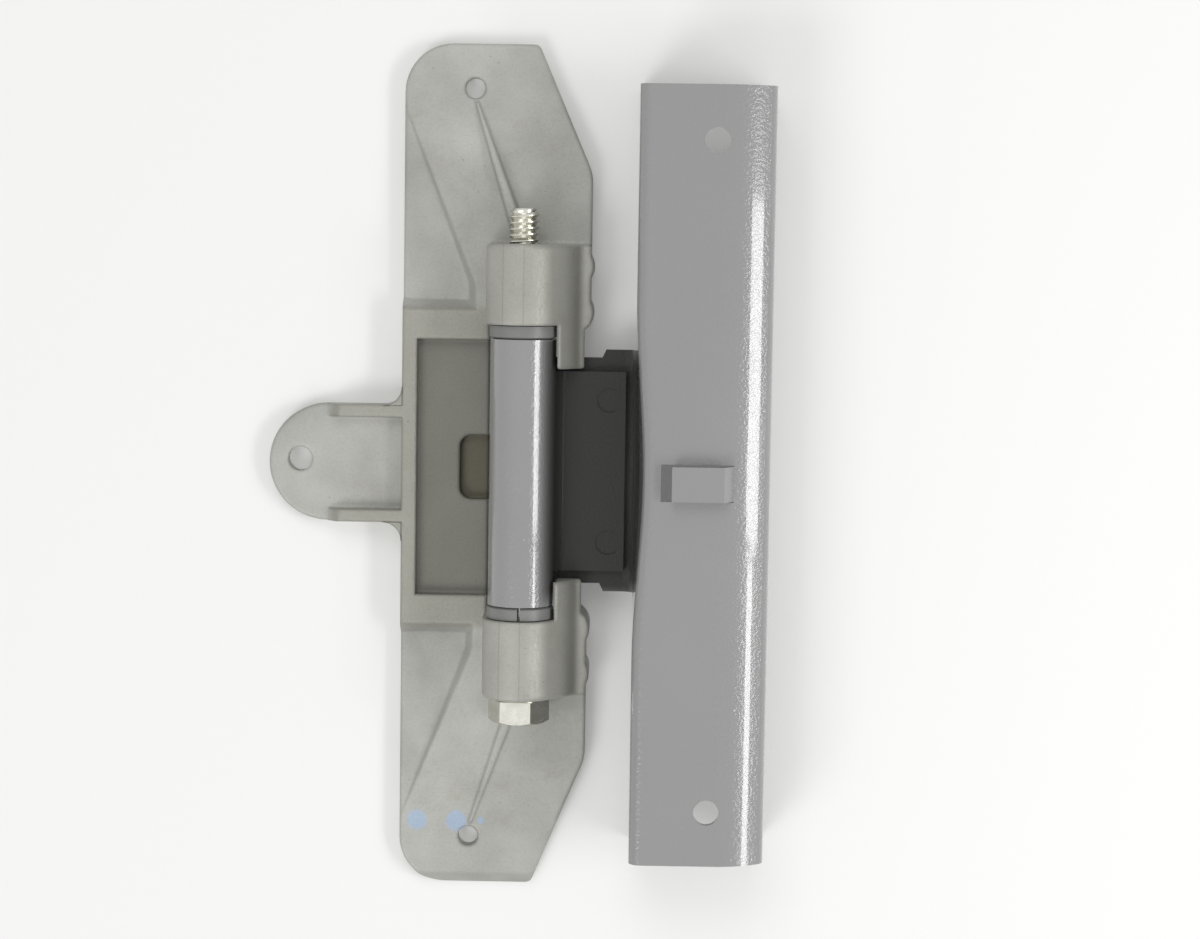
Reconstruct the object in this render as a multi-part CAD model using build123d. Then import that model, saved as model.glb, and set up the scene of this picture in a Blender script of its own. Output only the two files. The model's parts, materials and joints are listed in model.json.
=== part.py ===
from build123d import *
import os
from math import atan2, cos, radians, sin, sqrt, tan

# Dryer door hinge in millimetres: die-cast cabinet bracket, pivot bolt, two split bushings, folded door leaf.
# X points from the cabinet side to the door side, Y runs along the pivot bolt, Z points away from the cabinet.
# The origin is midway between the two cabinet screw holes, on the bracket's flat back face.

# Cabinet bracket: plate
plate_thickness = 3.2
screw_spacing = 158.75
upper_end_margin = 9.2
lower_end_margin = 10.4
plate_left_x = -14.65
plate_right_x = 24.8
tip_right_x = 13.3
shoulder_setback = 17.4
tip_corner_radius = 10.2
shoulder_radius = 9.0
tip_right_radius = 1.6
lower_end_bevel = 2.4
lower_edge_share = 0.2
screw_hole_diameter = 4.2
screw_hole_rim = 0.35

# Cabinet bracket: locating ear
ear_radius = 12.4
ear_centre_x = -30.4
ear_y = 0.6
ear_hole_x = -36.3
ear_hole_y = 1.2
ear_hole_diameter = 5.1
ear_rib_width = 2.65
ear_root_radius = 3.9

# Cabinet bracket: pocket, rim, ramps and gussets
rim_height = 6.0
rim_width = 3.15
floor_setback = 0.6
bar_width = 6.0
bar_foot = 2.4
pocket_half_length = 27.0
window_half_length = 6.9
window_left_x = -2.5
window_corner_radius = 2.6
window_floor = 1.2
ramp_tip_setback = 3.6
ramp_corner_x = -1.0
ramp_corner_y = 38.6
ramp_corner_radius = 3.2
ramp_step_draft = 35.0
gusset_tip_x = 0.4
gusset_tip_setback = 2.9
gusset_tip_height = 0.5
gusset_tip_width = 1.6
gusset_root_width = 6.4
gusset_crest_share = 0.4
gusset_crest_radius = 0.3
gusset_clearance = 0.8
gusset_root_depth = 1.6

# Rounding of the casting's edges
cast_edge_radius = 0.6
boss_edge_radius = 1.0

# Pivot
pin_x = 11.0
pin_z = 13.0
bolt_diameter = 6.35
bolt_length = 101.6
head_across_flats = 11.11
head_height = 5.1
head_face_height = 0.4
head_face_share = 0.93
head_chamfer_run = 0.8
head_chamfer_drop = 0.45
head_turn = 5.6
bolt_end_chamfer = 0.9
thread_fit = 0.02
lower_hole_fit = 0.15
running_fit = 0.05

# Bosses that carry the bolt
boss_radius = 7.8
boss_length = 16.65
boss_slope_angle = 50.0
boss_margin_height = 11.0
boss_slope_fillet = 1.8
boss_lobe_radius = 4.6
boss_lobe_reach = 0.7
boss_lobe_overhang = 2.0

# Stop fingers beside the barrel
finger_width = 5.4
upper_finger_end = 21.5
lower_finger_end = 22.6
finger_gap = 0.5
finger_root_depth = 1.6
stop_gap = 1.1

# Door leaf: one folded and rolled sheet
sheet = 1.6
barrel_radius = 6.75
barrel_half_length = 27.6
seam_gap = 0.15
return_bend_radius = 3.0
return_half_width = 20.9
return_setback = 2.0
neck_half_width = 23.7
tongue_length = 7.0
tongue_half_width = 25.4
tongue_chamfer = 0.8
tongue_bend_radius = 2.4
weld_setback = 5.4
weld_half_spacing = 14.9
weld_diameter = 5.1
weld_dimple_depth = 0.25
relief_width = 1.2
relief_height = 2.0
leaf_reach = 23.4
channel_width = 27.8
channel_half_length = 79.6
channel_depth = 26.0
left_bend_radius = 2.5
right_slope_angle = 35.0
right_slope_length = 6.65
right_upper_radius = 16.0
right_lower_radius = 3.0
waist_lean = 1.9
waist_half_length = 37.0
waist_sections = 6
blend_sections = 3
door_hole_inset = 15.75
door_hole_spacing = 136.9
door_hole_diameter = 5.2
tab_width = 7.1
tab_y = -0.7
tab_inset = 7.6
tab_rise = 3.0
tab_ramp_length = 2.0
tab_root_inset = 6.5
tab_slot_margin = 2.2
tab_side_gap = 0.25

# Split bushings
bushing_fit = 0.03
bushing_length = 11.0
flange_overhang = 0.2
flange_seat_gap = 0.05
thrust_gap = 0.2
flange_width = 2.7
flange_chamfer = 0.9
bushing_slit = 0.6

# Places worked out from the driving sizes
screw_y = screw_spacing / 2
plate_upper_y = screw_y + upper_end_margin
plate_lower_y = screw_y + lower_end_margin
shoulder_y = screw_y - shoulder_setback
ramp_tip_y = screw_y - ramp_tip_setback
gusset_tip_y = screw_y - gusset_tip_setback
bolt_radius = bolt_diameter / 2
barrel_bore_radius = barrel_radius - sheet
barrel_bottom_z = pin_z - barrel_radius
tongue_top_z = barrel_bottom_z + sheet
return_top_z = tongue_top_z + seam_gap + sheet
barrel_right_x = pin_x + barrel_radius
channel_left_x = pin_x + leaf_reach
channel_right_x = channel_left_x + channel_width
neck_end_x = channel_left_x - tongue_length
return_end_x = channel_left_x - return_setback
weld_x = channel_left_x - weld_setback
door_hole_x = channel_left_x + door_hole_inset
tab_left_x = channel_left_x + tab_inset
tab_root_x = channel_right_x - tab_root_inset
right_slope = radians(right_slope_angle)
right_knee_x = channel_right_x - right_slope_length * cos(right_slope)
right_knee_z = channel_depth - right_slope_length * sin(right_slope)
web_flat_end_x = right_knee_x - right_upper_radius * tan(right_slope / 2)
flange_outer_y = barrel_half_length + flange_seat_gap + flange_width
boss_inner_y = flange_outer_y + thrust_gap
boss_outer_y = boss_inner_y + boss_length
floor_right_x = pin_x - barrel_radius - floor_setback
pocket_left_x = plate_left_x + rim_width
bar_outer_y = pocket_half_length + bar_width
finger_left_x = barrel_right_x + finger_gap
finger_under_z = tongue_top_z + stop_gap
slope = radians(boss_slope_angle)
slope_start_x = pin_x + boss_radius * sin(slope)
slope_start_z = pin_z + boss_radius * cos(slope)
slope_end_x = slope_start_x + (slope_start_z - boss_margin_height) / tan(slope)
side_plane = Plane((plate_left_x, 0, 0), x_dir=(0, 1, 0), z_dir=(1, 0, 0))


def cross_plane(y):
    return Plane((0, y, 0), x_dir=(1, 0, 0), z_dir=(0, -1, 0))


def along_y(section, low_y, high_y):
    return extrude(cross_plane(high_y) * section, amount=high_y - low_y)


def both_ends(solid):
    return solid + mirror(solid, about=Plane.XZ)


def polygon(*points):
    return make_face(Polyline(*points, close=True))


def block(low, high):
    size = [b - a for a, b in zip(low, high)]
    return Pos(*low) * Box(*size, align=(Align.MIN, Align.MIN, Align.MIN))


def upright(x, y, radius, low_z, high_z):
    return Pos(x, y, low_z) * Cylinder(radius, high_z - low_z, align=(Align.CENTER, Align.CENTER, Align.MIN))


def pin_cylinder(radius, low_y, high_y):
    return along_y(Pos(pin_x, pin_z) * Circle(radius), low_y, high_y)


# Corner points of a path moved sideways by the sheet thickness, to the right of its run
def beside(points, distance):
    moved = []
    last = len(points) - 1
    for i, (x, z) in enumerate(points):
        runs = [(points[j], points[j + 1]) for j in (i - 1, i) if 0 <= j < last]
        headings = [atan2(b[1] - a[1], b[0] - a[0]) for a, b in runs]
        middle = sum(headings) / len(headings)
        reach = distance / cos(middle - headings[0])
        moved.append((x + reach * sin(middle), z - reach * cos(middle)))
    return moved


# Section of a folded sheet: visible face along the points, thickness to the right of the run
def sheet_section(points, radii):
    inner_points = beside(points, sheet)
    inner_radii = []
    for i, radius in enumerate(radii):
        (ax, az), (bx, bz), (cx, cz) = points[i:i + 3]
        turn = (bx - ax) * (cz - bz) - (bz - az) * (cx - bx)
        inner_radii.append(radius + sheet if turn > 0 else radius - sheet)
    outer = FilletPolyline(*points, radius=radii)
    inner = FilletPolyline(*inner_points, radius=inner_radii)
    ends = [Line(outer @ 1, inner @ 1), Line(inner @ 0, outer @ 0)]
    return make_face(list(outer.edges()) + list(inner.edges()) + ends)


# Cast pieces lose their sharp upper edges
def soften_top(solid):
    return fillet(solid.edges().group_by(Axis.Z)[-1], cast_edge_radius)


def plate_outline():
    outline = polygon((plate_left_x, plate_upper_y), (tip_right_x, plate_upper_y), (plate_right_x, shoulder_y),
                      (plate_right_x, -shoulder_y), (tip_right_x, -plate_lower_y), (plate_left_x, -plate_lower_y))
    far_left = [v for v in outline.vertices() if v.X < plate_left_x + 0.1]
    outline = fillet(far_left, tip_corner_radius)
    shoulders = [v for v in outline.vertices() if v.X > plate_right_x - 0.1]
    outline = fillet(shoulders, shoulder_radius)
    tips = [v for v in outline.vertices() if abs(v.X - tip_right_x) < 0.1 and abs(v.Y) > shoulder_y]
    return fillet(tips, tip_right_radius)


def ear():
    root = Pos((ear_centre_x + plate_left_x + rim_width) / 2, ear_y)
    neck = root * Rectangle(plate_left_x + rim_width - ear_centre_x, 2 * ear_radius)
    fillets = Sketch()
    for side in (1, -1):
        edge_y = ear_y + side * ear_radius
        far_y = edge_y + side * ear_root_radius
        far_x = plate_left_x - ear_root_radius
        patch = polygon((plate_left_x, edge_y), (far_x, edge_y), (far_x, far_y), (plate_left_x, far_y))
        fillets += patch - Pos(far_x, far_y) * Circle(ear_root_radius)
    outline = Pos(ear_centre_x, ear_y) * Circle(ear_radius) + neck
    tab = soften_top(extrude(outline, plate_thickness)) + extrude(fillets, rim_height)
    rib_top = [(ear_centre_x, 0), (ear_centre_x, plate_thickness), (ear_centre_x + ear_rib_width, rim_height),
               (plate_left_x + rim_width, rim_height), (plate_left_x + rim_width, 0)]
    for low_y in (ear_y + ear_radius - ear_rib_width, ear_y - ear_radius):
        tab += soften_top(along_y(polygon(*rib_top), low_y, low_y + ear_rib_width))
    return tab


# Walls round the pocket: a rim on the left and a bar at each end, sloping down on its outer side
def pocket_walls():
    rim = block((plate_left_x, -bar_outer_y, 0), (pocket_left_x, bar_outer_y, rim_height))
    profile = polygon((pocket_half_length, 0), (pocket_half_length, rim_height), (bar_outer_y, rim_height),
                      (bar_outer_y + bar_foot, plate_thickness), (bar_outer_y + bar_foot, 0))
    bar = extrude(side_plane * profile, amount=pin_x - plate_left_x)
    return soften_top(rim + both_ends(bar))


# Surface that climbs from the tip to the bar, on the right of the diagonal step
def ramp():
    root_y = bar_outer_y - bar_width / 2
    profile = polygon((ramp_tip_y, 0), (ramp_tip_y, plate_thickness), (bar_outer_y, rim_height), (root_y, rim_height),
                      (root_y, 0))
    wedge = extrude(side_plane * profile, amount=plate_right_x - plate_left_x)
    far_x, far_y = 2 * plate_right_x, ramp_tip_y + plate_right_x
    region = polygon((plate_left_x, ramp_tip_y), (ramp_corner_x, ramp_corner_y), (ramp_corner_x, 0), (far_x, 0),
                     (far_x, far_y), (plate_left_x, far_y))
    corner = region.vertices().sort_by_distance((ramp_corner_x, ramp_corner_y))[0]
    region = fillet(corner, ramp_corner_radius)
    step = Pos(0, 0, plate_thickness) * extrude(region, rim_height - plate_thickness, taper=ramp_step_draft)
    return both_ends(wedge & step & extrude(plate_outline(), rim_height))


# Tapered ridge from a screw hole to its boss
def gusset(end, crest_z):
    sections = []
    for x, y, width, top in ((gusset_tip_x, gusset_tip_y, gusset_tip_width, plate_thickness + gusset_tip_height),
                             (pin_x, boss_outer_y - gusset_root_depth, gusset_root_width, crest_z)):
        crest = gusset_crest_share * width / 2
        face = polygon((x - width / 2, 0), (x - crest, top), (x + crest, top), (x + width / 2, 0))
        sections.append(cross_plane(end * y) * face)
    ridge = loft(sections)
    crests = ridge.edges().filter_by(lambda edge: edge.center().Z > plate_thickness and edge.length > plate_right_x)
    return fillet(crests, gusset_crest_radius)


# Section of a boss: round over the bolt, sloping to a low margin on the right
def boss_section():
    left_x = pin_x - boss_radius
    arc = ThreePointArc((left_x, pin_z), (pin_x, pin_z + boss_radius), (slope_start_x, slope_start_z))
    slope_line = FilletPolyline((slope_start_x, slope_start_z), (slope_end_x, boss_margin_height),
                                (plate_right_x, boss_margin_height), radius=boss_slope_fillet)
    rest = Polyline((plate_right_x, boss_margin_height), (plate_right_x, 0), (left_x, 0), (left_x, pin_z))
    return make_face([arc.edge()] + list(slope_line.edges()) + list(rest.edges()))


def boss():
    solid = along_y(boss_section(), boss_inner_y, boss_outer_y)
    outer_edges = solid.edges().group_by(Axis.Y)[-1].filter_by(lambda edge: edge.center().Z > cast_edge_radius)
    solid = fillet(outer_edges, boss_edge_radius)
    lobe_x = plate_right_x + boss_lobe_reach - boss_lobe_radius
    for y in (boss_inner_y + boss_lobe_radius - boss_lobe_overhang, boss_outer_y - boss_lobe_radius):
        solid += soften_top(upright(lobe_x, y, boss_lobe_radius, 0, boss_margin_height))
    solid -= block((pin_x, 0, 0), (finger_left_x, boss_inner_y, boss_margin_height))
    return both_ends(solid)


# Fingers that stop the leaf: the right side of each boss carried on over the edge of the tongue
def stop_fingers():
    right_x = finger_left_x + finger_width
    reach = polygon((finger_left_x, finger_under_z), (right_x, finger_under_z),
                    (right_x, pin_z + boss_radius), (finger_left_x, pin_z + boss_radius))
    section = boss_section() & reach

    def finger(end_y):
        solid = along_y(section, end_y, boss_inner_y + finger_root_depth)
        return fillet(solid.edges().group_by(Axis.Y)[0], cast_edge_radius)

    return finger(upper_finger_end) + mirror(finger(lower_finger_end), about=Plane.XZ)


def hinge_bracket():
    plate = soften_top(extrude(plate_outline(), plate_thickness))
    gap = block((floor_right_x, -boss_inner_y, -1), (plate_right_x + 1, boss_inner_y, rim_height + 1))
    window = Pos((window_left_x + pin_x) / 2, 0) * Rectangle(pin_x - window_left_x, 2 * window_half_length)
    window_corners = [v for v in window.vertices() if v.X < 0]
    window = fillet(window_corners, window_corner_radius)
    solid = plate + ear() + pocket_walls() + ramp()
    solid += gusset(1, pin_z - bolt_radius - gusset_clearance)
    solid += gusset(-1, pin_z - head_across_flats / sqrt(3) - gusset_clearance)
    solid -= gap
    solid += boss() + stop_fingers()
    solid -= Pos(0, 0, window_floor) * extrude(window, rim_height)
    for end in (1, -1):
        solid -= upright(0, end * screw_y, screw_hole_diameter / 2, -1, rim_height)
        rim = Cone(screw_hole_diameter / 2, screw_hole_diameter / 2 + screw_hole_rim, screw_hole_rim)
        solid -= Pos(0, end * screw_y, plate_thickness - screw_hole_rim / 2) * rim
    solid -= upright(ear_hole_x, ear_hole_y, ear_hole_diameter / 2, -1, rim_height)
    solid -= pin_cylinder(bolt_radius + thread_fit, boss_inner_y - 1, boss_outer_y + 1)
    solid -= pin_cylinder(bolt_radius + lower_hole_fit, -boss_outer_y - 1, -boss_inner_y + 1)
    edge_z = lower_edge_share * plate_thickness
    bevel = [(-plate_lower_y, edge_z), (-plate_lower_y + lower_end_bevel, plate_thickness),
             (-plate_lower_y + lower_end_bevel, rim_height), (-plate_lower_y - 1, rim_height),
             (-plate_lower_y - 1, edge_z)]
    return solid - extrude(side_plane * polygon(*bevel), amount=plate_right_x - plate_left_x)


def hinge_bolt():
    under_head = -boss_outer_y
    tip = under_head + bolt_length
    shank = pin_cylinder(bolt_radius, under_head, tip)
    shank = chamfer(shank.edges().group_by(Axis.Y)[-1], bolt_end_chamfer)
    face = pin_cylinder(head_face_share * head_across_flats / 2, under_head - head_face_height, under_head)
    corner_radius = head_across_flats / sqrt(3)
    hexagon = Pos(pin_x, pin_z) * RegularPolygon(corner_radius, 6, rotation=head_turn)
    head = along_y(hexagon, under_head - head_height, under_head - head_face_height)
    rounding = pin_cylinder(corner_radius, under_head - head_height, under_head - head_face_height)
    rounding = chamfer(rounding.edges().group_by(Axis.Y)[0], head_chamfer_drop, head_chamfer_run)
    return shank + face + (head & rounding)


# Rolled barrel with its two plies: the tongue below and the returning end above it
def barrel_section():
    bend = return_bend_radius
    bend_z = return_top_z + bend
    centre_gap = barrel_radius + bend
    bend_x = pin_x + sqrt(centre_gap ** 2 - (bend_z - pin_z) ** 2)
    ux, uz = (bend_x - pin_x) / centre_gap, (bend_z - pin_z) / centre_gap
    lower_z = return_top_z - sheet

    def rolled(radius, ply_z, bend_size):
        leave = (pin_x + radius * ux, pin_z + radius * uz)
        roll = ThreePointArc((pin_x, pin_z - radius), (pin_x - radius, pin_z), (pin_x, pin_z + radius))
        top = ThreePointArc((pin_x, pin_z + radius),
                            (pin_x + radius * cos(radians(45)), pin_z + radius * sin(radians(45))), leave)
        half = (atan2(-uz, -ux) % radians(360) + radians(270)) / 2
        middle = (bend_x + bend_size * cos(half), bend_z + bend_size * sin(half))
        turn = ThreePointArc(leave, middle, (bend_x, ply_z))
        return [roll.edge(), top.edge(), turn.edge(), Line((bend_x, ply_z), (return_end_x, ply_z)).edge()]

    outer = rolled(barrel_radius, return_top_z, bend)
    inner = rolled(barrel_bore_radius, lower_z, bend + sheet)
    plies = [Line((return_end_x, return_top_z), (return_end_x, lower_z)).edge(),
             Line((pin_x, barrel_bottom_z), (neck_end_x, barrel_bottom_z)).edge(),
             Line((neck_end_x, barrel_bottom_z), (neck_end_x, tongue_top_z)).edge(),
             Line((neck_end_x, tongue_top_z), (pin_x, tongue_top_z)).edge()]
    return make_face(outer + inner + plies)


# Plan cuts that leave each ply its own width beyond the barrel
def ply_cuts():
    start = barrel_right_x
    wide_x = neck_end_x + tongue_chamfer
    far = return_end_x + 1
    tongue_side = polygon((start, neck_half_width), (neck_end_x, neck_half_width), (wide_x, tongue_half_width),
                          (far, tongue_half_width), (far, barrel_half_length + 1), (start, barrel_half_length + 1))
    tongue_cut = Pos(0, 0, barrel_bottom_z - 1) * extrude(tongue_side, return_top_z + barrel_radius)
    return_cut = block((start, return_half_width, tongue_top_z + seam_gap / 2),
                       (far, barrel_half_length + 1, pin_z + barrel_radius))
    return both_ends(tongue_cut + return_cut)


# The right side of the channel falls away in a wide bend and then a tight one
right_points = [(right_knee_x, channel_depth), (channel_right_x, right_knee_z), (channel_right_x, 0)]
right_radii = [right_upper_radius, right_lower_radius]


def channel_section(lean):
    points = [(channel_left_x, 0), (channel_left_x + lean, channel_depth)] + right_points
    return sheet_section(points, [left_bend_radius] + right_radii)


# Height of the channel's outer face over its wide bend
def web_top_z(x):
    run = max(0, x - web_flat_end_x)
    return channel_depth - right_upper_radius + sqrt(right_upper_radius ** 2 - run ** 2)


# Lean of the left flange: most at mid-length, fading out smoothly at the ends of the waist
def lean_at(y):
    share = min(1, abs(y) / waist_half_length)
    return waist_lean * (1 - share * share * (3 - 2 * share))


# Middle of the channel, where the left flange turns out into the tongue
def waist():
    sections = []
    for step in range(waist_sections + 1):
        y = tongue_half_width * (2 * step / waist_sections - 1)
        lean = lean_at(y)
        foot_x = channel_left_x + lean * tongue_top_z / channel_depth
        points = [(neck_end_x, tongue_top_z), (foot_x, tongue_top_z), (channel_left_x + lean, channel_depth)]
        radii = [tongue_bend_radius, left_bend_radius] + right_radii
        sections.append(cross_plane(y) * sheet_section(points + right_points, radii))
    solid = loft(sections)
    corner = polygon((neck_end_x, neck_half_width), (neck_end_x + tongue_chamfer, tongue_half_width),
                     (neck_end_x - 1, tongue_half_width + 1), (neck_end_x - 1, neck_half_width))
    return solid - both_ends(extrude(corner, channel_depth))


# Between the waist and the plain ends the flange has its full depth
def waist_blend():
    sections = []
    for step in range(blend_sections + 1):
        y = tongue_half_width + (waist_half_length - tongue_half_width) * step / blend_sections
        sections.append(cross_plane(y) * channel_section(lean_at(y)))
    return both_ends(loft(sections))


# Tongue lanced out of the web and raised, with the slot that it leaves
def lanced_tab():
    foot_x = tab_root_x - tab_slot_margin / 2
    points = [(tab_root_x, web_top_z(tab_root_x)), (foot_x, web_top_z(foot_x)),
              (foot_x - tab_ramp_length, channel_depth + tab_rise), (tab_left_x, channel_depth + tab_rise)]
    low = beside(points, -sheet)
    return along_y(polygon(*points, *reversed(low)), tab_y - tab_width / 2, tab_y + tab_width / 2)


def tab_slot():
    half = tab_width / 2 + tab_side_gap
    return block((tab_left_x - tab_slot_margin, tab_y - half, channel_depth - 2 * sheet),
                 (tab_root_x - tab_slot_margin / 2, tab_y + half, channel_depth + sheet))


def door_leaf():
    leaf = along_y(barrel_section(), -barrel_half_length, barrel_half_length) - ply_cuts()
    leaf += waist() + waist_blend()
    leaf += both_ends(along_y(channel_section(0), waist_half_length, channel_half_length))
    relief = block((neck_end_x + tongue_chamfer, tongue_half_width, -1),
                   (channel_left_x + waist_lean + sheet, tongue_half_width + relief_width,
                    return_top_z + relief_height))
    leaf -= both_ends(relief)
    leaf -= block((channel_left_x - sheet, -channel_half_length, -sheet), (channel_right_x, channel_half_length, 0))
    leaf -= tab_slot()
    leaf += lanced_tab()
    for end in (1, -1):
        leaf -= upright(door_hole_x, end * door_hole_spacing / 2, door_hole_diameter / 2,
                        channel_depth - 2 * sheet, channel_depth + 1)
        leaf += upright(weld_x, end * weld_half_spacing, weld_diameter / 2, tongue_top_z - sheet / 2,
                        return_top_z - sheet / 2)
        leaf -= upright(weld_x, end * weld_half_spacing, weld_diameter / 2, return_top_z - weld_dimple_depth,
                        return_top_z + 1)
    return leaf


# Flanged sleeve in one end of the barrel, split along its length on the side that faces slit_side in Z
def bushing(end, slit_side):
    low_y = barrel_half_length - bushing_length
    sleeve = pin_cylinder(barrel_bore_radius - bushing_fit, low_y, flange_outer_y)
    flange = pin_cylinder(barrel_radius + flange_overhang, flange_outer_y - flange_width, flange_outer_y)
    flange = chamfer(flange.edges().group_by(Axis.Y)[0], flange_chamfer / 2, flange_chamfer)
    solid = sleeve + flange - pin_cylinder(bolt_radius + running_fit, low_y - 1, flange_outer_y + 1)
    reach = slit_side * 2 * barrel_radius
    solid -= block((pin_x - bushing_slit / 2, low_y - 1, min(pin_z, pin_z + reach)),
                   (pin_x + bushing_slit / 2, flange_outer_y + 1, max(pin_z, pin_z + reach)))
    return solid if end > 0 else mirror(solid, about=Plane.XZ)


nodes = {
    "hinge_bracket": hinge_bracket(),
    "hinge_bolt": hinge_bolt(),
    "door_leaf": door_leaf(),
    "upper_bushing": bushing(1, -1),
    "lower_bushing": bushing(-1, 1),
}

os.makedirs("parts", exist_ok=True)
for name, shape in nodes.items():
    export_step(shape, f"parts/{name}.step")
    print(name, round(shape.volume, 1), len(shape.solids()))
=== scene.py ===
import json
import math

import bmesh
import bpy
from mathutils import Matrix, Vector


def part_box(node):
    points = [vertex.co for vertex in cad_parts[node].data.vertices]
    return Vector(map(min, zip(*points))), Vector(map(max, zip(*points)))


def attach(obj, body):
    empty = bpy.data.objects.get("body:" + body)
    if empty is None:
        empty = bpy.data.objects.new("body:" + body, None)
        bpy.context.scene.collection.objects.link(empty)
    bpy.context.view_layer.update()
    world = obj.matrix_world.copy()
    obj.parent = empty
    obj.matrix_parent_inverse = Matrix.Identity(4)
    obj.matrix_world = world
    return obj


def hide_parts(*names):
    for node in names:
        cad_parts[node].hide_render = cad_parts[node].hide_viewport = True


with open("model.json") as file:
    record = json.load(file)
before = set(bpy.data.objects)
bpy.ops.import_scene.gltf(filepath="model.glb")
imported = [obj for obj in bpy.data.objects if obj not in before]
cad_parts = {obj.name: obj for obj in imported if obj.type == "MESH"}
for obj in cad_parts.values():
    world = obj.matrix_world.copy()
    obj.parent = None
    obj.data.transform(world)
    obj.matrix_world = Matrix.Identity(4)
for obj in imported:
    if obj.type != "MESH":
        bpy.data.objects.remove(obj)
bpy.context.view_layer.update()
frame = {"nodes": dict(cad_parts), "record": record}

mm = 0.001
scene = bpy.context.scene
scene.view_settings.view_transform = "Standard"
print("frame loaded:", ", ".join(sorted(frame["nodes"])))


# sRGB hex to the linear colour that shaders take
def hexToLinear(hexValue):
    channels = [int(hexValue[i:i + 2], 16) / 255 for i in (1, 3, 5)]
    linear = [c / 12.92 if c <= 0.04045 else ((c + 0.055) / 1.055) ** 2.4 for c in channels]
    return (*linear, 1.0)


# one node with its settings (attributes or socket values) and its links (socket: output)
def addNode(tree, kind, settings=None, links=None):
    node = tree.nodes.new(kind)
    for name, value in (settings or {}).items():
        if hasattr(node, name):
            setattr(node, name, value)
        else:
            node.inputs[name].default_value = value
    for name, output in (links or {}).items():
        tree.links.new(output, node.inputs[name])
    return node


def newMaterial(name):
    material = bpy.data.materials.new(name)
    material.use_nodes = True
    tree = material.node_tree
    tree.nodes.clear()
    return material, tree


def finishMaterial(tree, shader):
    addNode(tree, "ShaderNodeOutputMaterial", links={"Surface": shader.outputs[0]})


# a maths node fed by outputs of other nodes or by plain numbers
def maths(tree, operation, *values):
    node = addNode(tree, "ShaderNodeMath", {"operation": operation})
    for socket, value in zip(node.inputs, values):
        if isinstance(value, (int, float)):
            socket.default_value = value
        else:
            tree.links.new(value, socket)
    return node.outputs[0]


# a value carried from one range to another, held at both ends
def remap(tree, value, fromRange=(0, 1), toRange=(0, 1), curve="LINEAR"):
    settings = {"interpolation_type": curve, "From Min": fromRange[0], "From Max": fromRange[1],
                "To Min": toRange[0], "To Max": toRange[1]}
    return addNode(tree, "ShaderNodeMapRange", settings, {"Value": value}).outputs[0]


# texture scale for a pattern of this size in mm
def perMm(size):
    return 1 / (size * mm)


def objectPlace(tree):
    return addNode(tree, "ShaderNodeTexCoord").outputs["Object"]


def noiseField(tree, place, sizeMm, detail, roughness=0.5):
    settings = {"Scale": perMm(sizeMm), "Detail": detail, "Roughness": roughness}
    return addNode(tree, "ShaderNodeTexNoise", settings, {"Vector": place}).outputs[0]


# scattered round spots: 1 in the core of a spot, which is a share of its size, and 0 outside the spot
def spotField(tree, place, spacingMm, spotMm, core):
    cells = addNode(tree, "ShaderNodeTexVoronoi", {"Scale": perMm(spacingMm)}, {"Vector": place})
    edge = spotMm / spacingMm
    return remap(tree, cells.outputs["Distance"], (edge, core * edge))


# 1 inside a box given in mm, fading to 0 over the soft distance outside it,
# which may differ at the high sides
def zoneMask(tree, place, zone):
    axes = addNode(tree, "ShaderNodeSeparateXYZ", links={"Vector": place})
    softLow = zone["softMm"]
    softHigh = zone.get("softHighMm", softLow)
    mask = None
    for i in range(3):
        for edge, outward in ((zone["low"][i], -softLow), (zone["high"][i], softHigh)):
            side = remap(tree, axes.outputs[i], ((edge + outward) * mm, edge * mm), curve="SMOOTHSTEP")
            mask = side if mask is None else maths(tree, "MULTIPLY", mask, side)
    return mask


# the Mix node's sockets for colours
mixSocket = {"factor": 0, "first": 6, "second": 7, "result": 2}


# two colours, each a hex value or an output, mixed by a factor output
def mixColours(tree, first, second, factor):
    mix = addNode(tree, "ShaderNodeMix", {"data_type": "RGBA"})
    for name, colour in (("first", first), ("second", second)):
        socket = mix.inputs[mixSocket[name]]
        if isinstance(colour, str):
            socket.default_value = hexToLinear(colour)
        else:
            tree.links.new(colour, socket)
    tree.links.new(factor, mix.inputs[mixSocket["factor"]])
    return mix.outputs[mixSocket["result"]]


# a tone laid over a colour by the given share where the mask is 1
def tint(tree, colour, tone, mask, share):
    return mixColours(tree, colour, tone, remap(tree, mask, toRange=(0, share)))


# bump of a depth in mm, on top of another bump or normal if one is given
def relief(tree, height, depthMm, strength, below=None):
    links = {"Height": height}
    if below is not None:
        links["Normal"] = below
    return addNode(tree, "ShaderNodeBump", {"Strength": strength, "Distance": depthMm * mm}, links).outputs[0]


def dress(piece, material):
    piece.data.materials.clear()
    piece.data.materials.append(material)


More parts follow.
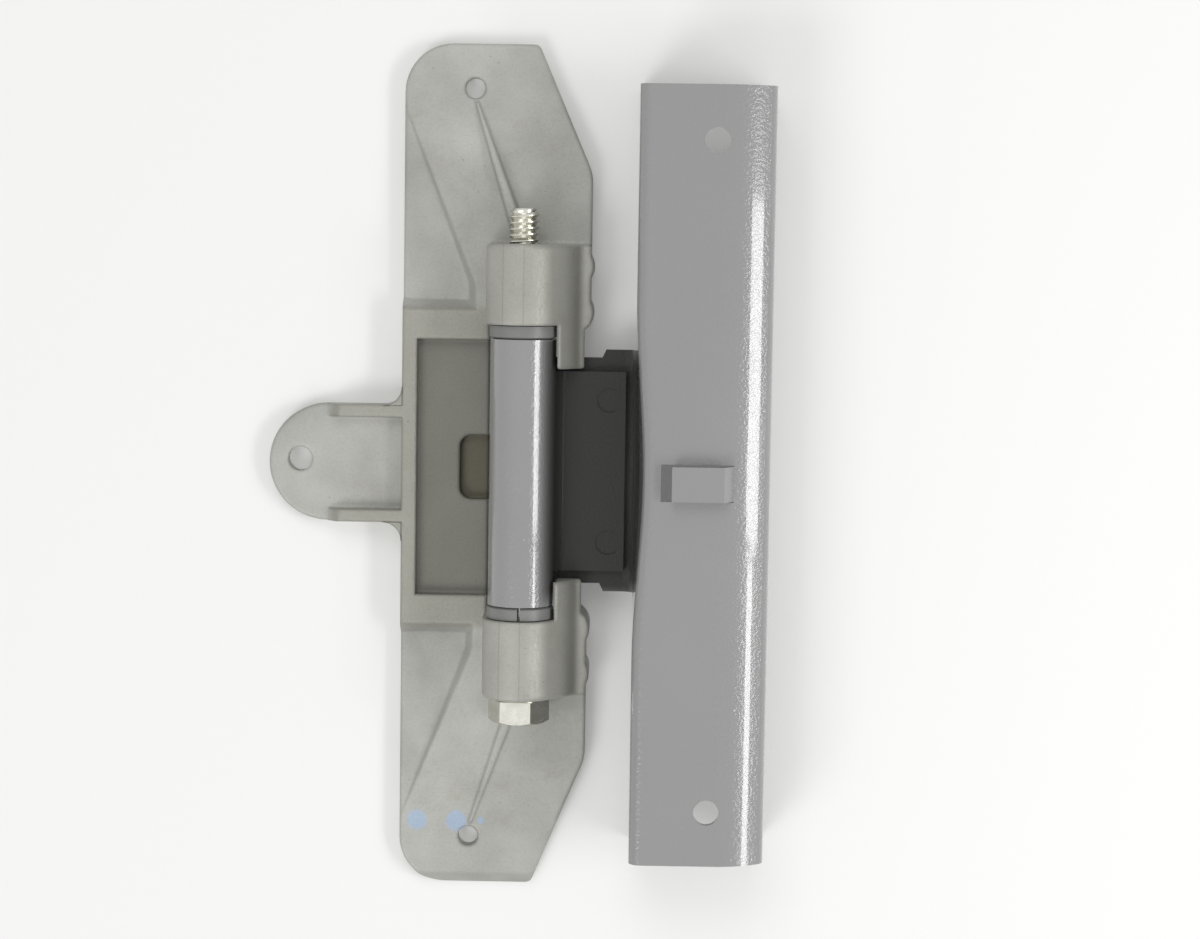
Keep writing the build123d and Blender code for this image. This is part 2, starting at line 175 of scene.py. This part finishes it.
castFinish = {
    "light": "#b1b1ac", "dark": "#9b9b95", "cloudMm": 14, "cloudDetail": 4, "cloudRange": (0.3, 0.7),
    "stain": "#8b8675", "stainMm": 5, "stainDetail": 6, "stainRoughness": 0.7,
    "stainRange": (0.58, 0.75), "stainShare": 0.35,
    "grainMm": 0.45, "grainDetail": 3, "grainDepthMm": 0.03, "grainStrength": 0.6,
    "gritRange": (0.48, 0.72), "gritShare": 0.09,
    "dimpleMm": 1.6, "dimpleDetail": 2, "dimpleDepthMm": 0.03, "dimpleStrength": 0.5,
    "edgeMm": 1.2, "edgeSamples": 6,
    "metallic": 0.4, "roughFrom": (0.3, 0.7), "roughTo": (0.46, 0.64),
    "pitTone": "#625e52", "pitSpacingMm": 4.2, "pitMm": 0.22, "pitCore": 0.5, "pitShare": 0.45,
    "inkTone": "#88afdc", "inkShare": 0.42, "inkHeightMm": 3.2, "inkWear": 0.8, "inkEdge": (1.5, 1.1),
    "inkDabsMm": ((-10.9, -75.9, 2.3), (-2.4, -76.1, 2.4), (2.8, -75.9, 0.9)),
    "zones": {
        # painted shade: darkens the pocket floor under the barrel
        "pocketPaintedShade": {"tone": "#6c6b62", "low": (-11.4, -26.9, 0), "high": (4, 26.9, 4.6),
                   "softMm": 1.2, "share": 0.8},
        # painted shade: darkens the recess in the pocket floor further
        "recessPaintedShade": {"tone": "#5f5b4e", "low": (-2.4, -6.9, 0), "high": (9, 6.9, 1.6),
                   "softMm": 0.3, "share": 1.0},
        "rim": {"tone": "#939187", "low": (-60, -33, 5), "high": (4, 33, 6.4),
                "softMm": 1.6, "share": 0.7},
        "bosses": {"tone": "#939187", "low": (-60, -120, 8.8), "high": (60, 120, 30),
                   "softMm": 1.6, "share": 0.3},
        "leftSeam": {"tone": "#88847a", "low": (7.0, -48, 17), "high": (7.0, 48, 22),
                     "softMm": 0.25, "share": 0.45},
        "rightSeam": {"tone": "#88847a", "low": (11.3, -48, 17), "high": (11.3, 48, 22),
                      "softMm": 0.25, "share": 0.45},
    },
}


# rumbled die-cast aluminium: a pale satin skin, faintly cloudy, with fine grit marks and soft edges,
# with painted shade that darkens the pocket and, more deeply, its recess, warmer on the rim and bosses, with
# mould seams and three ink dabs
def dieCastAluminium():
    plan = castFinish
    material, tree = newMaterial("dieCastAluminium")
    place = objectPlace(tree)
    cloud = noiseField(tree, place, plan["cloudMm"], plan["cloudDetail"])
    stain = noiseField(tree, place, plan["stainMm"], plan["stainDetail"], plan["stainRoughness"])
    grain = noiseField(tree, place, plan["grainMm"], plan["grainDetail"])
    dimple = noiseField(tree, place, plan["dimpleMm"], plan["dimpleDetail"])
    tone = mixColours(tree, plan["dark"], plan["light"], remap(tree, cloud, plan["cloudRange"]))
    tone = tint(tree, tone, plan["stain"], remap(tree, stain, plan["stainRange"]), plan["stainShare"])
    # the pocket and recess tones are painted shade; the rim, boss and seam tones are the casting's own colour
    for zone in plan["zones"].values():
        tone = tint(tree, tone, zone["tone"], zoneMask(tree, place, zone), zone["share"])
    for x, y, radius in plan["inkDabsMm"]:
        away = addNode(tree, "ShaderNodeVectorMath", {"operation": "DISTANCE"}, {"Vector": place})
        away.inputs[1].default_value = Vector((x, y, plan["inkHeightMm"])) * mm
        worn = maths(tree, "MULTIPLY_ADD", stain, plan["inkWear"] * radius * mm, away.outputs["Value"])
        dab = remap(tree, worn, [edge * radius * mm for edge in plan["inkEdge"]])
        tone = tint(tree, tone, plan["inkTone"], dab, plan["inkShare"])
    pits = spotField(tree, place, plan["pitSpacingMm"], plan["pitMm"], plan["pitCore"])
    tone = tint(tree, tone, plan["pitTone"], pits, plan["pitShare"])
    tone = tint(tree, tone, plan["pitTone"], remap(tree, grain, plan["gritRange"]), plan["gritShare"])
    rough = remap(tree, grain, plan["roughFrom"], plan["roughTo"])
    edge = addNode(tree, "ShaderNodeBevel", {"samples": plan["edgeSamples"], "Radius": plan["edgeMm"] * mm})
    dents = relief(tree, dimple, plan["dimpleDepthMm"], plan["dimpleStrength"], edge.outputs[0])
    skin = relief(tree, grain, plan["grainDepthMm"], plan["grainStrength"], dents)
    shader = addNode(tree, "ShaderNodeBsdfPrincipled", {"Metallic": plan["metallic"]},
                     {"Base Color": tone, "Roughness": rough, "Normal": skin})
    finishMaterial(tree, shader)
    return material


paintFinish = {
    "light": "#8d8e8d", "dark": "#848584", "cloudMm": 30, "cloudDetail": 3,
    "peelMm": 0.6, "peelDetail": 1.5, "peelDepthMm": 0.12, "peelStrength": 0.9,
    "speck": "#c9c9c5", "speckSpacingMm": 11, "speckMm": 0.3, "speckCore": 0.4,
    "speckDepthMm": 0.1, "speckStrength": 0.6,
    "roughness": 0.2, "coat": 1.0, "coatRoughness": 0.06,
    # the fold tone is painted shade, laid on the strap in the fold and on the barrel's right flank
    "foldPaintedShade": "#21211f", "foldRoughness": 0.65, "foldCoat": 0.1, "wallShadeShare": 0.85,
    "shadedFold": {"low": (18.2, -24, 0), "high": (33.2, 27, 19), "softMm": 4.8, "softHighMm": 1.2},
    # painted shade low on the channel wall beside the fold
    "shadedWall": {"low": (33.2, -22, 0), "high": (36.5, 22, 13), "softMm": 5.0},
}


# baked gloss paint on sheet steel: even grey under a clear gloss, fine orange peel that breaks up
# the highlight, a few dust specks, painted shade that makes the fold and the barrel's right flank dark (and
# dull), and painted shade low on the wall beside it
def glossGreyPaint():
    plan = paintFinish
    material, tree = newMaterial("glossGreyPaint")
    place = objectPlace(tree)
    cloud = noiseField(tree, place, plan["cloudMm"], plan["cloudDetail"])
    peel = noiseField(tree, place, plan["peelMm"], plan["peelDetail"])
    specks = spotField(tree, place, plan["speckSpacingMm"], plan["speckMm"], plan["speckCore"])
    # painted shade: the fold mask covers the strap and the barrel's right flank, the wall mask the low part of
    # the channel wall beside it
    shadedFold = zoneMask(tree, place, plan["shadedFold"])
    shadedWall = zoneMask(tree, place, plan["shadedWall"])
    tone = mixColours(tree, plan["dark"], plan["light"], cloud)
    tone = mixColours(tree, tone, plan["speck"], specks)
    tone = mixColours(tree, tone, plan["foldPaintedShade"], shadedFold)
    # painted shade laid low on the wall by its share
    tone = tint(tree, tone, plan["foldPaintedShade"], shadedWall, plan["wallShadeShare"])
    rough = remap(tree, shadedFold, toRange=(plan["roughness"], plan["foldRoughness"]))
    coat = remap(tree, shadedFold, toRange=(plan["coat"], plan["foldCoat"]))
    ripple = relief(tree, peel, plan["peelDepthMm"], plan["peelStrength"])
    film = relief(tree, specks, plan["speckDepthMm"], plan["speckStrength"], ripple)
    shader = addNode(tree, "ShaderNodeBsdfPrincipled", {"Coat Roughness": plan["coatRoughness"]},
                     {"Base Color": tone, "Roughness": rough, "Coat Weight": coat, "Normal": film})
    finishMaterial(tree, shader)
    return material


zincFinish = {
    "light": "#e2e1d9", "dark": "#c4c2b7", "patchMm": 2.2, "patchDetail": 3,
    "metallic": 1.0, "roughTo": (0.2, 0.32),
    "scratchMm": 0.25, "scratchDetail": 2, "scratchDepthMm": 0.01, "scratchStrength": 0.4,
}


# bright zinc plate on steel: clear silver with faint milky patches and handling marks
def brightZinc():
    plan = zincFinish
    material, tree = newMaterial("brightZincPlate")
    place = objectPlace(tree)
    patch = noiseField(tree, place, plan["patchMm"], plan["patchDetail"])
    marks = noiseField(tree, place, plan["scratchMm"], plan["scratchDetail"])
    tone = mixColours(tree, plan["dark"], plan["light"], patch)
    rough = remap(tree, patch, toRange=plan["roughTo"])
    scratch = relief(tree, marks, plan["scratchDepthMm"], plan["scratchStrength"])
    shader = addNode(tree, "ShaderNodeBsdfPrincipled", {"Metallic": plan["metallic"]},
                     {"Base Color": tone, "Roughness": rough, "Normal": scratch})
    finishMaterial(tree, shader)
    return material


nylonFinish = {
    "light": "#818180", "dark": "#70706e", "cloudMm": 3, "cloudDetail": 3, "roughness": 0.42,
    "grainMm": 0.3, "grainDetail": 2, "grainDepthMm": 0.015, "grainStrength": 0.5,
}


# moulded grey nylon: waxy, slightly uneven
def greyNylon():
    plan = nylonFinish
    material, tree = newMaterial("greyNylon")
    place = objectPlace(tree)
    cloud = noiseField(tree, place, plan["cloudMm"], plan["cloudDetail"])
    grain = noiseField(tree, place, plan["grainMm"], plan["grainDetail"])
    tone = mixColours(tree, plan["dark"], plan["light"], cloud)
    skin = relief(tree, grain, plan["grainDepthMm"], plan["grainStrength"])
    shader = addNode(tree, "ShaderNodeBsdfPrincipled", {"Roughness": plan["roughness"]},
                     {"Base Color": tone, "Normal": skin})
    finishMaterial(tree, shader)
    return material


castSkin = dieCastAluminium()
leafPaint = glossGreyPaint()
zinc = brightZinc()
nylon = greyNylon()
dress(frame["nodes"]["hinge_bracket"], castSkin)
dress(frame["nodes"]["door_leaf"], leafPaint)
dress(frame["nodes"]["upper_bushing"], nylon)
dress(frame["nodes"]["lower_bushing"], nylon)
print("materials: cast aluminium, grey paint, zinc, nylon")

boltPlan = {
    "pitchMm": 1.27, "rootDepthMm": 0.68, "crestShare": 0.16, "crestInsetMm": 0.03,
    "threadMm": 19, "stepsPerTurn": 40, "endChamferMm": 1.0, "chamferSlope": 0.8, "shankMm": 20,
    "solidMergeMm": 0.001, "threadMergeMm": 0.01, "touchMm": 0.01, "startSlackMm": 0.1,
}


def cutEdges(cut):
    return [item for item in cut["geom_cut"] if isinstance(item, bmesh.types.BMEdge)]


# the thread's profile along the bolt, spun once round the pin while it moves on by one pitch
def spinThread(bm, joint, start, tip, crest):
    plan = boltPlan
    pitch = plan["pitchMm"] * mm
    root = crest - plan["rootDepthMm"] * mm
    flat = plan["crestShare"] * pitch / 2
    turns = int((tip - start) / pitch) + 1
    profile = []
    for turn in range(-1, turns + 1):
        middle = start + turn * pitch
        for offset, radius in ((-pitch / 2, root), (-flat, crest), (flat, crest)):
            profile.append(bm.verts.new((joint.x + radius, middle + offset, joint.z)))
    edges = [bm.edges.new(pair) for pair in zip(profile, profile[1:])]
    steps = plan["stepsPerTurn"]
    bmesh.ops.spin(bm, geom=profile + edges, cent=joint, axis=(0, 1, 0), dvec=(0, pitch / steps, 0),
                   angle=math.tau, steps=steps, use_duplicate=False)
    bmesh.ops.remove_doubles(bm, verts=bm.verts, dist=plan["threadMergeMm"] * mm)


# pivot bolt: the solid's head and shank, with a real helical thread in place of its plain end
def pivotBolt():
    plan = boltPlan
    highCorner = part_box("hinge_bolt")[1]
    tip = highCorner[1]
    start = tip - plan["threadMm"] * mm
    joint = Vector(frame["record"]["behaviour"]["joints"][0]["pos_m"])
    bm = bmesh.new()
    bm.from_mesh(frame["nodes"]["hinge_bolt"].data)
    bmesh.ops.remove_doubles(bm, verts=bm.verts, dist=plan["solidMergeMm"] * mm)

    def reach(v):
        return (v.co.xz - joint.xz).length

    def threadFrom(y):
        return [v for v in bm.verts if v.co.y > y and reach(v) < crest + plan["touchMm"] * mm]

    shank = [reach(v) for v in bm.verts if v.co.y > tip - plan["shankMm"] * mm]
    crest = max(shank) - plan["crestInsetMm"] * mm
    cut = bmesh.ops.bisect_plane(bm, geom=bm.verts[:] + bm.edges[:] + bm.faces[:], plane_co=(0, start, 0),
                                 plane_no=(0, 1, 0), clear_outer=True)
    bmesh.ops.edgeloop_fill(bm, edges=cutEdges(cut))
    spinThread(bm, joint, start, tip, crest)

    # both ends of the thread are cut square, and the outer one is closed
    thread = threadFrom(start - 2 * plan["pitchMm"] * mm)
    for y, side in ((tip, 1), (start, -1)):
        edges = {e for v in thread for e in v.link_edges}
        faces = {f for v in thread for f in v.link_faces}
        cut = bmesh.ops.bisect_plane(bm, geom=thread + list(edges) + list(faces), plane_co=(0, y, 0),
                                     plane_no=(0, side, 0), clear_outer=True)
        if y == tip:
            bmesh.ops.contextual_create(bm, geom=cutEdges(cut))
            thread = threadFrom(start - plan["startSlackMm"] * mm)

    # chamfer at the tip
    for v in bm.verts:
        past = v.co.y - tip + plan["endChamferMm"] * mm
        limit = crest - plan["chamferSlope"] * past
        if past > 0 and reach(v) > limit:
            share = limit / reach(v)
            v.co.x = joint.x + (v.co.x - joint.x) * share
            v.co.z = joint.z + (v.co.z - joint.z) * share
    bmesh.ops.recalc_face_normals(bm, faces=bm.faces)
    mesh = bpy.data.meshes.new("pivotBolt")
    bm.to_mesh(mesh)
    bm.free()
    piece = bpy.data.objects.new("pivotBolt", mesh)
    scene.collection.objects.link(piece)
    dress(piece, zinc)
    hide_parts("hinge_bolt")
    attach(piece, "bracket")
    return piece


bolt = pivotBolt()
print("bolt: thread turned,", len(bolt.data.polygons), "faces")


# 1 for the rays that show a surface to the eye, straight or in a mirror or glass, and 0 for the rest
def seenRays(tree):
    rays = addNode(tree, "ShaderNodeLightPath").outputs
    seen = maths(tree, "ADD", rays["Is Camera Ray"], rays["Is Glossy Ray"])
    return maths(tree, "ADD", seen, rays["Is Transmission Ray"])


floorPlan = {"sizeM": 3.0, "colour": "#dcdcda", "roughness": 0.7, "liftColour": "#ffffff", "lift": 0.14}


# plain pale floor that keeps the object's shadow, lifted a little for the eye alone
def paleFloor():
    plan = floorPlan
    bm = bmesh.new()
    bmesh.ops.create_grid(bm, x_segments=1, y_segments=1, size=plan["sizeM"] / 2)
    mesh = bpy.data.meshes.new("paleFloor")
    bm.to_mesh(mesh)
    bm.free()
    floor = bpy.data.objects.new("paleFloor", mesh)
    scene.collection.objects.link(floor)
    material, tree = newMaterial("paleTableTop")
    lift = remap(tree, seenRays(tree), toRange=(0, plan["lift"]))
    settings = {"Base Color": hexToLinear(plan["colour"]), "Roughness": plan["roughness"],
                "Emission Color": hexToLinear(plan["liftColour"])}
    shader = addNode(tree, "ShaderNodeBsdfPrincipled", settings, {"Emission Strength": lift})
    finishMaterial(tree, shader)
    dress(floor, material)


paleFloor()

lightPlan = {
    "aimM": (0.012, 0.0, 0.008),
    "world": "#ffffff", "worldStrength": 0.55, "skyStrength": 0.9,
    "lamps": {
        "keyFront": {"azimuth": 232, "elevation": 46, "distanceM": 1.7, "sizeM": (0.7, 0.7), "watts": 8.5},
        "keyBack": {"azimuth": 100, "elevation": 50, "distanceM": 1.7, "sizeM": (0.9, 0.9), "watts": 5.5},
        "stripUpper": {"azimuth": -1.5, "elevation": 36, "distanceM": 0.8, "sizeM": (0.17, 0.26), "watts": 1.3},
        "stripLower": {"azimuth": -23, "elevation": 36, "distanceM": 0.8, "sizeM": (0.30, 0.11), "watts": 1.0},
    },
}


# soft studio light: a key over the lower left, a weaker one over the upper end, and two panels
# on the right that draw the highlights on the bend and the barrel
def studioLight():
    plan = lightPlan
    aim = Vector(plan["aimM"])
    for name, one in plan["lamps"].items():
        azimuth, elevation = math.radians(one["azimuth"]), math.radians(one["elevation"])
        back = Vector((math.cos(azimuth) * math.cos(elevation), math.sin(azimuth) * math.cos(elevation),
                       math.sin(elevation)))
        lamp = bpy.data.lights.new(name, "AREA")
        lamp.shape = "RECTANGLE"
        lamp.size, lamp.size_y = one["sizeM"]
        lamp.energy = one["watts"]
        holder = bpy.data.objects.new(name, lamp)
        # a lamp shines along its own -Z, and its first side runs as nearly along Y as it can
        across = Vector((0, 1, 0)).cross(back).normalized()
        turn = Matrix((back.cross(across), -across, back)).transposed().to_4x4()
        holder.matrix_world = Matrix.Translation(aim + back * one["distanceM"]) @ turn
        scene.collection.objects.link(holder)
    scene.world = bpy.data.worlds.new("studio")
    scene.world.use_nodes = True
    tree = scene.world.node_tree
    background = tree.nodes["Background"]
    background.inputs["Color"].default_value = hexToLinear(plan["world"])
    strength = remap(tree, seenRays(tree), toRange=(plan["worldStrength"], plan["skyStrength"]))
    tree.links.new(strength, background.inputs["Strength"])


studioLight()

cameraPlan = {"frameWidthPx": 1200, "focalPx": 2605, "sensorMm": 36, "clipStartM": 0.01,
              "placeMm": (33.16, 48.87, 551.44), "turnDeg": (-5.098, 0.701, 0.853)}


# camera at the photograph's viewing angle
def photoCamera():
    plan = cameraPlan
    data = bpy.data.cameras.new("photoCamera")
    data.sensor_fit = "HORIZONTAL"
    data.sensor_width = plan["sensorMm"]
    data.lens = plan["focalPx"] / plan["frameWidthPx"] * plan["sensorMm"]
    data.clip_start = plan["clipStartM"]
    camera = bpy.data.objects.new("photoCamera", data)
    camera.location = [value * mm for value in plan["placeMm"]]
    camera.rotation_euler = [math.radians(value) for value in plan["turnDeg"]]
    scene.collection.objects.link(camera)
    scene.camera = camera


photoCamera()
print("stage, lights and camera set")
